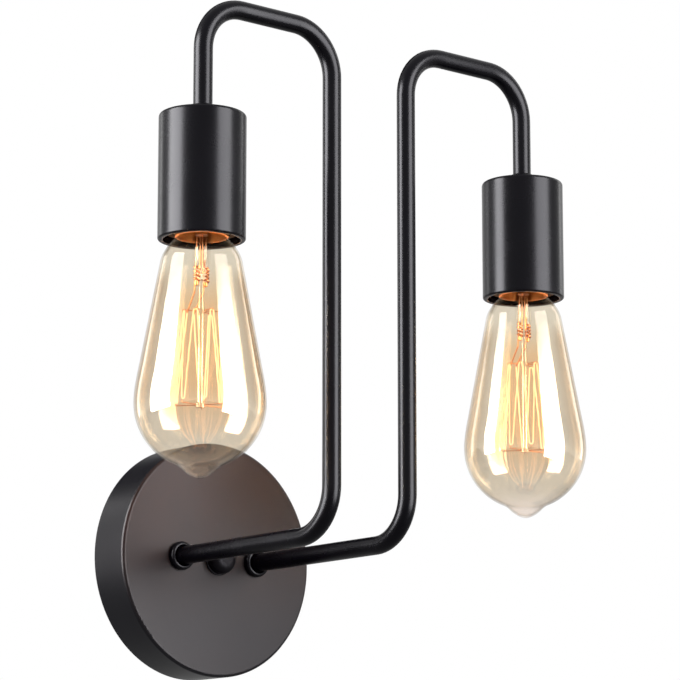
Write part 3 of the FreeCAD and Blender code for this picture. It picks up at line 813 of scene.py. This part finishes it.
def rounded_path(corners: Sequence[Vector], radius: float) -> list[Vector]:
    """Straight runs joined by arcs.

    Args:
        corners: the path's ends and corners.
        radius: the arcs' radius.

    Returns:
        The points of the path.
    """
    points = [corners[0]]
    for before, corner, after in zip(corners, corners[1:], corners[2:]):
        inward, onward = (before - corner).normalized(), (after - corner).normalized()
        half = inward.angle(onward) / 2.0
        setback = radius / math.tan(half)
        centre = corner + (inward + onward).normalized() * (radius / math.sin(half))
        first, second = corner + inward * setback - centre, corner + onward * setback - centre
        for step in range(BEND_STEPS + 1):
            points.append(centre + first.slerp(second, step / BEND_STEPS))
    points.append(corners[-1])
    return points


# ---- lamps
@dataclass(frozen=True)
class Lamp:
    """One pear-shaped screw lamp; heights are in millimetres above the cup's mouth."""

    side: Side
    drop_x: float = 107.5
    reach_y: float = -148.0
    mouth_z: float = 135.5

    # The glass.
    neck: float = 11.9
    neck_top: float = 12.5
    neck_slope: Spot = (1.1, -1.0)
    rim: float = 1.5
    ball: float = 32.0
    belly: float = -80.0
    shoulder: Spot = (20.0, -11.0)
    cone_end: Spot = (29.2, -60.0)
    root: float = 11.5
    tip_radius: float = 6.5
    tip: float = -116.5
    tip_length: float = 2.7
    tip_slope: Spot = (-1.0, -0.75)
    wall: float = 0.8
    neck_steps: int = 14
    cone_steps: int = 10
    ball_steps: int = 28
    tip_steps: int = 9
    glass_sides: int = 120

    # The stem.
    stem: float = 4.2
    stem_wall: float = 0.9
    stem_foot: float = -14.0
    stem_rings: tuple[float, ...] = (4.0, 0.0, -5.0, -10.0)
    flare_length: float = 4.5
    flare_power: float = 1.6
    flare_lip: float = 0.3
    bore_top: float = 8.0
    bore_end: float = 2.2
    bore_rings: tuple[Place, ...] = ((0.6, 0.5, 2.4), (1.0, 0.94, 3.6))
    press: float = 6.0
    press_half: float = 1.2
    press_run: float = 3.0
    press_square: float = 3.6
    press_edge: tuple[Spot, ...] = ((0.0, 0.8), (0.25, 0.2), (0.8, 0.0))

    # The rod, the cage and its hooks.
    rod: float = 1.5
    rod_sink: float = 0.4
    hub: float = 2.7
    hub_half: float = 1.2
    hub_power: float = 0.7
    cage_top: float = -35.0
    cage_foot: float = -81.0
    cage_radii: Spot = (8.5, 11.5)
    cage_opening: float = 90.0
    hooks: int = 6
    hook_wire: float = 0.24
    hook_root: float = 0.5
    hook_reach: float = 0.4
    curl: float = 0.45
    curl_steps: int = 5

    # The thread.
    thread: float = 0.36
    thread_bend: float = 0.7
    thread_piece: float = 3.0
    bow: float = 0.35
    sway: float = 0.18
    sway_rate: float = 1.7
    sway_drift: float = 0.9
    drift_rate: float = 0.37

    # The lead-in wires, and the plug, coils and sleeves on them.
    wire: float = 0.32
    wire_sides: int = 10
    wire_bend: float = 2.8
    wire_end: float = 0.3
    lead_gap: float = 2.8
    knee_drop: float = 6.4
    plug: float = 3.1
    plug_band: Band = (2.5, 9.0)
    fine_wire: float = 0.26
    fine_place: Spot = (0.4, 1.5)
    fine_rise: float = 3.0
    coil_wire: float = 0.44
    coil_turns: int = 4
    coil_steps: int = 14
    coil_radii: Spot = (1.25, 1.55)
    coil_rise: float = 1.0
    coil_extra: float = 1.4
    sleeve: tuple[Spot, ...] = (
        (0.30, 0.0), (0.80, -0.12), (0.86, -0.5), (0.80, -2.2), (0.62, -2.4), (0.30, -2.42))
    sleeve_drop: float = 0.3
    sleeve_sides: int = 20

    @property
    def body(self) -> str:
        """The moving body that the lamp belongs to."""
        return f"lamp_{self.side.tag}"

    @property
    def origin(self) -> Vector:
        """The middle of the cup's mouth, in metres."""
        return Vector((self.side.value * self.drop_x, self.reach_y, self.mouth_z)) * MM

    def build(self) -> None:
        """Build the glass and everything in it."""
        self._add(self._envelope(), "lamp_glass", AMBER_GLASS, "bulb_glass")
        self._add(self._stem(), "lamp_stem", CLEAR_GLASS, "bulb_stem")
        self._add(self._rod(), "lamp_rod", CLEAR_GLASS, "bulb_rod")
        self._add(self._hooks(), "lamp_hooks", COPPER, "bulb_hooks")
        self._add(self._lead_wires(), "lamp_lead_wires", COPPER, "bulb_lead_wires")
        self._add(self._filament(), "lamp_filament", LIT_THREAD, "bulb_filament")
        LOG.info("lamp %s built", self.side.tag)

    def _add(self, shape: Shape, name: str, finish: Coating, node: str) -> None:
        """Place one piece of the lamp in the stead of its CAD node.

        Args:
            shape: the piece's mesh.
            name: the piece's name without its side.
            finish: its finish.
            node: the CAD node's name without its side.
        """
        piece = shape.build(f"{name}_{self.side.tag}", self.origin)
        finish.dress(piece)
        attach(piece, self.body)
        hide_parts(f"{node}_{self.side.tag}")

    def _outline(self, inset: float) -> list[Spot]:
        """The pear outline moved inwards, from the neck's top to the tip.

        Args:
            inset: how far inwards.

        Returns:
            The (radius, height) points.
        """
        neck = self.neck - inset
        shoulder = (self.shoulder[0] - inset, self.shoulder[1])
        cone_end = (self.cone_end[0] - inset, self.cone_end[1])
        slope = (cone_end[0] - shoulder[0], cone_end[1] - shoulder[1])
        ball = self.ball - inset
        drop = math.sqrt(ball ** 2 - self.root ** 2)
        root = (self.root, self.belly - drop)
        side = (self.tip_radius, self.tip + self.tip_length + inset)
        points = [(neck, self.neck_top), (neck, (self.neck_top + self.rim) / 2.0), (neck, self.rim)]
        points += eased(points[-1], self.neck_slope, shoulder, slope, self.neck_steps)
        for step in range(1, self.cone_steps + 1):
            points.append((shoulder[0] + slope[0] * step / self.cone_steps,
                           shoulder[1] + slope[1] * step / self.cone_steps))
        points += eased(cone_end, slope, (ball, self.belly), (0.0, -1.0), self.cone_steps)
        sweep = math.acos(self.root / ball)
        for step in range(1, self.ball_steps + 1):
            turn = sweep * step / self.ball_steps
            points.append((ball * math.cos(turn), self.belly - ball * math.sin(turn)))
        points += eased(root, (-drop, -self.root), side, self.tip_slope, self.tip_steps)
        points += eased(side, self.tip_slope, (0.0, self.tip + inset), (-1.0, 0.0), self.tip_steps)
        return points

    def _envelope(self) -> Shape:
        """The pear-shaped glass, open at its neck inside the cap."""
        outside, inside = self._outline(0.0), self._outline(self.wall)
        return Shape().turned(outside + inside[::-1], self.glass_sides)

    def _stem(self) -> Shape:
        """The flared glass tube with its flattened press.

        Returns:
            The stem's mesh.
        """
        curve = [step / CURVE_STEPS for step in range(CURVE_STEPS + 1)]
        foot, low = self.stem_foot, self.stem_foot - self.press
        flare = self.neck - self.wall
        outer = []
        for t in curve:
            spread = (1 - math.sin(t * QUARTER_TURN)) ** self.flare_power
            radius = self.stem + (flare - self.stem) * spread
            outer.append(self._oval(radius, radius, self.neck_top - self.flare_length * t))
        for height in self.stem_rings:
            outer.append(self._oval(self.stem, self.stem, height))
        for t in curve[1:]:
            ease = t * t * (3 - 2 * t)
            outer.append(self._oval(self.stem, self.stem + (self.press_half - self.stem) * ease,
                                    foot + self.press_run * (1 - t),
                                    ELLIPSE + (self.press_square - ELLIPSE) * ease))
        for inset, rise in self.press_edge:
            outer.append(self._oval(self.stem - inset, self.press_half - inset, low + rise,
                                    self.press_square))
        outer.append([UP * low])
        bore = self.stem - self.stem_wall
        inner = [[UP * (foot + self.bore_end)]]
        for wide, deep, rise in self.bore_rings:
            inner.append(self._oval(bore * wide, bore * deep, foot + rise))
        for t in curve:
            spread = (1 - math.cos(t * QUARTER_TURN)) ** self.flare_power
            radius = bore + (flare - bore) * spread
            rise = (self.neck_top - self.bore_top - self.flare_lip) * t
            inner.append(self._oval(radius, radius, self.bore_top + rise))
        return Shape().loft(inner + outer)

    @staticmethod
    def _oval(half_x: float, half_y: float, height: float, square: float = ELLIPSE) -> list[Vector]:
        """A ring between an ellipse and a rounded rectangle.

        Args:
            half_x: half its width.
            half_y: half its depth.
            height: its height.
            square: ELLIPSE for an ellipse, and more for squarer corners.

        Returns:
            The ring's points.
        """
        ring = []
        for step in range(OVAL_SIDES):
            turn = FULL_TURN * step / OVAL_SIDES
            c, s = math.cos(turn), math.sin(turn)
            grow = (abs(c) ** square + abs(s) ** square) ** (-1.0 / square)
            ring.append(Vector((half_x * c * grow, half_y * s * grow, height)))
        return ring

    def _rod(self) -> Shape:
        """The glass rod with a fire-rounded button at each end of the cage.

        Returns:
            The rod's mesh.
        """
        points = [(0.0, self.cage_foot - self.hub_half)]
        for middle in (self.cage_foot, self.cage_top):
            for step in range(CURVE_STEPS + 1):
                turn = math.pi * (step / CURVE_STEPS - 0.5)
                swell = 0.0 if step in (0, CURVE_STEPS) else math.cos(turn) ** self.hub_power
                points.append((self.rod + (self.hub - self.rod) * swell,
                               middle + self.hub_half * math.sin(turn)))
        top = self.stem_foot - self.press + self.rod_sink
        points += [(self.rod, top), (0.0, top)]
        return Shape().turned(points, ROD_SIDES, wrap=False)

    def _cage(self) -> list[Vector]:
        """The hooks' places, top and foot in turn, from one filament end to the other.

        Returns:
            The places.
        """
        points = []
        count = 2 * self.hooks + 1
        for step in range(count):
            turn = math.radians(self.cage_opening + 360.0 / count * (step + 0.5))
            top = step % 2 == 0
            radius = self.cage_radii[0 if top else 1]
            points.append(Vector((radius * math.cos(turn), radius * math.sin(turn),
                                  self.cage_top if top else self.cage_foot)))
        return points

    def _hooks(self) -> Shape:
        """The fine copper supports, each with a small curl that holds the filament.

        Returns:
            The hooks' mesh.
        """
        shape = Shape()
        middle = (self.cage_top + self.cage_foot) / 2.0
        for point in self._cage()[1:-1]:
            outward = Vector((point.x, point.y, 0.0)).normalized()
            up = UP if point.z < middle else -UP
            start = outward * (self.hub - self.hook_root) + UP * point.z
            end = point + outward * self.hook_reach
            path = [start, start.lerp(end, 0.5), end]
            for step in range(1, self.curl_steps):
                turn = math.pi * step / self.curl_steps
                path.append(end + outward * self.curl * math.sin(turn)
                            + up * self.curl * (1 - math.cos(turn)))
            shape.tube(path, self.hook_wire)
        return shape

    def _lead_wires(self) -> Shape:
        """The plug in the stem, and the wires with their coils and sleeves.

        Returns:
            The wires' mesh.
        """
        low, high = self.plug_band
        plug = [(0.0, low), (self.plug, low), (self.plug, high), (0.0, high)]
        shape = Shape().turned(plug, ROD_SIDES, wrap=False)
        press = self.stem_foot - self.press
        for side in Side:
            self._fine_wire(shape, side.value, press)
        cage = self._cage()
        for side, point in ((Side.LEFT, cage[0]), (Side.RIGHT, cage[-1])):
            self._lead_wire(shape, side.value * self.lead_gap, press, point)
        return shape

    def _fine_wire(self, shape: Shape, sign: int, press: float) -> None:
        """One of the two straight wires from the plug to the press.

        Args:
            shape: the mesh to add to.
            sign: -1 or 1, for the wire's side of the stem.
            press: the height of the press's lower end.
        """
        x, y = (sign * offset for offset in self.fine_place)
        shape.tube([Vector((x, y, self.fine_rise)), Vector((x, y, press + self.fine_rise))],
                   self.fine_wire)

    def _lead_wire(self, shape: Shape, x: float, press: float, point: Vector) -> None:
        """One lead-in wire with its coil round the press and its crimped sleeve.

        Args:
            shape: the mesh to add to.
            x: the place of the wire's upright run.
            press: the height of the press's lower end.
            point: the filament's end.
        """
        corners = [Vector((x, 0.0, self.rim)), Vector((x, 0.0, press - self.knee_drop)),
                   point + UP * self.wire_end]
        shape.tube(rounded_path(corners, self.wire_bend), self.wire, self.wire_sides)
        wide, deep = self.coil_radii
        pitch = (self.press + self.coil_extra) / self.coil_turns
        coil = []
        for step in range(self.coil_steps * self.coil_turns + 1):
            turn = FULL_TURN * step / self.coil_steps
            height = self.stem_foot + self.coil_rise - pitch * turn / FULL_TURN
            coil.append(Vector((x + wide * math.cos(turn), deep * math.sin(turn), height)))
        shape.tube(coil, self.coil_wire)
        top = press - self.sleeve_drop
        shape.turned_at(x, [(radius, top + height) for radius, height in self.sleeve],
                        self.sleeve_sides)

    def _filament(self) -> Shape:
        """The lit thread that runs up and down over the hooks.

        Returns:
            The thread's mesh.
        """
        points = self._cage()
        corners = [points[0]]
        for before, hook, after in zip(points, points[1:], points[2:]):
            inward, onward = (before - hook).normalized(), (after - hook).normalized()
            middle = (inward + onward).normalized()
            setback = self.thread_bend / math.sin(inward.angle(onward) / 2.0)
            corners.append(hook - middle * setback)
        corners.append(points[-1])
        path = rounded_path(corners, self.thread_bend)
        fine: list[Vector] = [path[0]]
        for one, two in zip(path, path[1:]):
            count = max(1, int((two - one).length / self.thread_piece))
            fine += [one.lerp(two, step / count) for step in range(1, count + 1)]
        return Shape().tube([self._bowed(number, point) for number, point in enumerate(fine)],
                            self.thread)

    def _bowed(self, number: int, point: Vector) -> Vector:
        """A point of the thread moved outwards, most in the middle of a run.

        Args:
            number: the point's number along the thread.
            point: its place on a straight run.

        Returns:
            Its place on the bowed, slightly uneven thread.
        """
        share = (point.z - self.cage_foot) / (self.cage_top - self.cage_foot)
        middle = max(0.0, 1.0 - (share * 2.0 - 1.0) ** 2)
        drift = self.sway_drift * math.sin(self.drift_rate * number)
        sway = self.sway * math.sin(self.sway_rate * number + drift)
        outward = Vector((point.x, point.y, 0.0)).normalized()
        return point + outward * ((self.bow + sway) * middle)


# ---- studio
class Use(Enum):
    """What a soft box is for."""

    LIGHT = "light"
    GLOSS = "gloss"


def heading(azimuth: float) -> Vector:
    """The level direction at so many degrees to the right of straight out."""
    turn = math.radians(azimuth)
    return Vector((math.sin(turn), -math.cos(turn), 0.0))


def sheet(name: str, corners: Sequence[Vector], material: bpy.types.Material) -> bpy.types.Object:
    """A flat sheet of four corners.

    Args:
        name: its name.
        corners: its corners in order.
        material: its material.

    Returns:
        The new object.
    """
    mesh = bpy.data.meshes.new(name)
    mesh.from_pydata(corners, [], [(0, 1, 2, 3)])
    mesh.materials.append(material)
    return placed(name, mesh)


@dataclass(frozen=True)
class SoftBox:
    """A tall soft box that faces the light."""

    name: str
    use: Use
    azimuth: float
    width: float
    low: float
    high: float
    distance: float
    radiance: float

    def build(self, target: Vector) -> None:
        """Add the soft box.

        Args:
            target: the point that the box faces.
        """
        away = heading(self.azimuth)
        centre = Vector((target.x, target.y, 0.0)) + away * self.distance
        centre.z = (self.low + self.high) / 2.0
        lamp = bpy.data.lights.new(self.name, "AREA")
        lamp.shape = "RECTANGLE"
        lamp.size = self.width
        lamp.size_y = self.high - self.low
        lamp.energy = self.radiance * LAMP_POWER * lamp.size * lamp.size_y
        piece = placed(self.name, lamp)
        piece.location = centre
        piece.rotation_euler = (-away).to_track_quat("-Z", "Y").to_euler()
        piece.visible_camera = False
        piece.visible_diffuse = self.use is Use.LIGHT
        piece.visible_glossy = self.use is Use.GLOSS


@dataclass(frozen=True)
class DarkCard:
    """A black card that only gloss mirrors, high behind the wall plane."""

    azimuth: float = 167.0
    distance: float = 1.5
    width: float = 1.5
    low: float = 0.75
    high: float = 2.4
    colour: Colour = (0.01, 0.01, 0.012)

    def build(self, target: Vector) -> None:
        """Add the card.

        Args:
            target: the point that the card faces.
        """
        foot = Vector((target.x, target.y, 0.0)) + heading(self.azimuth) * self.distance
        half = heading(self.azimuth + 90.0) * (self.width / 2.0)
        low, high = UP * self.low, UP * self.high
        corners = [foot - half + low, foot + half + low, foot + half + high, foot - half + high]
        material, net = blank_material("black_card")
        net.surface(net.add("ShaderNodeBsdfDiffuse", {}, {"Color": self.colour}))
        card = sheet("dark_card", corners, material)
        card.visible_camera = False
        card.visible_diffuse = False
        card.visible_transmission = False
        card.visible_shadow = False


@dataclass(frozen=True)
class Studio:
    """The plain studio: white surroundings, a pale floor, soft boxes, a card and the camera."""

    ambient: float = 0.45
    floor_drop: float = -0.9
    floor_half: float = 8.0
    floor_gloss: float = 0.45
    floor_white: float = 0.82
    floor_strength: float = 1.12
    floor_colour: Colour = (0.88, 0.88, 0.88)
    camera_place: Place = (-0.99304, -1.29718, -0.19721)
    camera_yaw: float = -40.266
    camera_pitch: float = 11.069
    camera_lens: float = 162.40
    sensor: float = 36.0
    target: Place = (0.0, -0.148, 0.10)
    warm_place: Place = (0.1075, -0.148, 0.078)
    warm_colour: Colour = (1.0, 0.50, 0.22)
    warm_power: float = 0.55
    warm_radius: float = 0.012
    boxes: tuple[SoftBox, ...] = (
        SoftBox("key_left", Use.LIGHT, -113.75, 0.90, 0.31, 1.50, 1.2, 3.2),
        SoftBox("key_right", Use.LIGHT, 24.0, 0.90, 0.31, 1.50, 1.2, 2.8),
        SoftBox("gloss_left", Use.GLOSS, -110.5, 0.82, -0.16, 1.00, 1.2, 25.0),
        SoftBox("gloss_right", Use.GLOSS, 18.5, 0.88, -0.42, 1.00, 1.2, 15.5),
        SoftBox("strip_left", Use.GLOSS, -166.75, 0.20, 0.0, 0.75, 1.3, 3.0),
        SoftBox("strip_right", Use.GLOSS, 89.25, 0.20, 0.0, 1.2, 1.3, 3.0),
    )

    def build(self) -> None:
        """Add the surroundings, floor, soft boxes, dark card, lamps' own light and camera."""
        target = Vector(self.target)
        self._surroundings()
        self._floor()
        for box in self.boxes:
            box.build(target)
        DarkCard().build(target)
        self._lamp_light()
        self._camera()
        LOG.info("studio: %d soft boxes", len(self.boxes))

    def _lamp_light(self) -> None:
        """The warm light that each filament casts."""
        for side in Side:
            lamp = bpy.data.lights.new(f"warm_{side.tag}", "POINT")
            lamp.color = self.warm_colour
            lamp.energy = self.warm_power
            lamp.shadow_soft_size = self.warm_radius
            piece = placed(f"warm_{side.tag}", lamp)
            piece.location = (side.value * self.warm_place[0], *self.warm_place[1:])
            piece.visible_camera = False
            piece.visible_glossy = False

    def _surroundings(self) -> None:
        """White to the camera, to gloss and through glass, and a softer fill for the rest."""
        world = bpy.data.worlds.new("surroundings")
        world.use_nodes = True
        bpy.context.scene.world = world
        net = Net(world.node_tree)
        seen = net.ray("Is Camera Ray").most(net.ray("Is Glossy Ray"))
        white = seen.most(net.ray("Is Transmission Ray"))
        strength = self.ambient + white * (1.0 - self.ambient)
        sky = net.add("ShaderNodeBackground", {}, {"Color": WHITE, "Strength": strength})
        net.add("ShaderNodeOutputWorld", {}, {"Surface": sky})

    def _floor(self) -> None:
        """A large pale floor well under the light."""
        material, net = blank_material("floor_paper")
        paper = net.add("ShaderNodeBsdfDiffuse", {}, {"Color": self.floor_colour})
        paper = net.blend(net.ray("Is Glossy Ray"), paper, net.glow(self.floor_gloss))
        seen = net.ray("Is Camera Ray") * self.floor_white
        paper = net.blend(seen, paper, net.glow(self.floor_strength))
        through = net.add("ShaderNodeBsdfTransparent")
        behind = net.add("ShaderNodeNewGeometry", output="Backfacing")
        net.surface(net.blend(behind, paper, through))
        half = self.floor_half
        corners = [Vector((x * half, y * half, 0.0))
                   for x, y in ((-1, -1), (1, -1), (1, 1), (-1, 1))]
        floor = sheet("floor", corners, material)
        floor.location.z = self.floor_drop

    def _camera(self) -> None:
        """The camera at the photograph's place."""
        camera = bpy.data.cameras.new("camera")
        camera.lens = self.camera_lens
        camera.sensor_width = self.sensor
        piece = placed("camera", camera)
        piece.location = self.camera_place
        tilt, turn = math.radians(90.0 + self.camera_pitch), math.radians(self.camera_yaw)
        piece.rotation_euler = (tilt, 0.0, turn)
        bpy.context.scene.camera = piece


def main() -> None:
    """Dress the frame, build the lamps and set up the studio."""
    logging.basicConfig(level=logging.INFO, format="%(message)s")
    bpy.context.scene.view_settings.view_transform = "Standard"
    FrameFinishes().dress()
    for side in Side:
        Lamp(side).build()
    Studio().build()


if __name__ == "__main__":
    main()
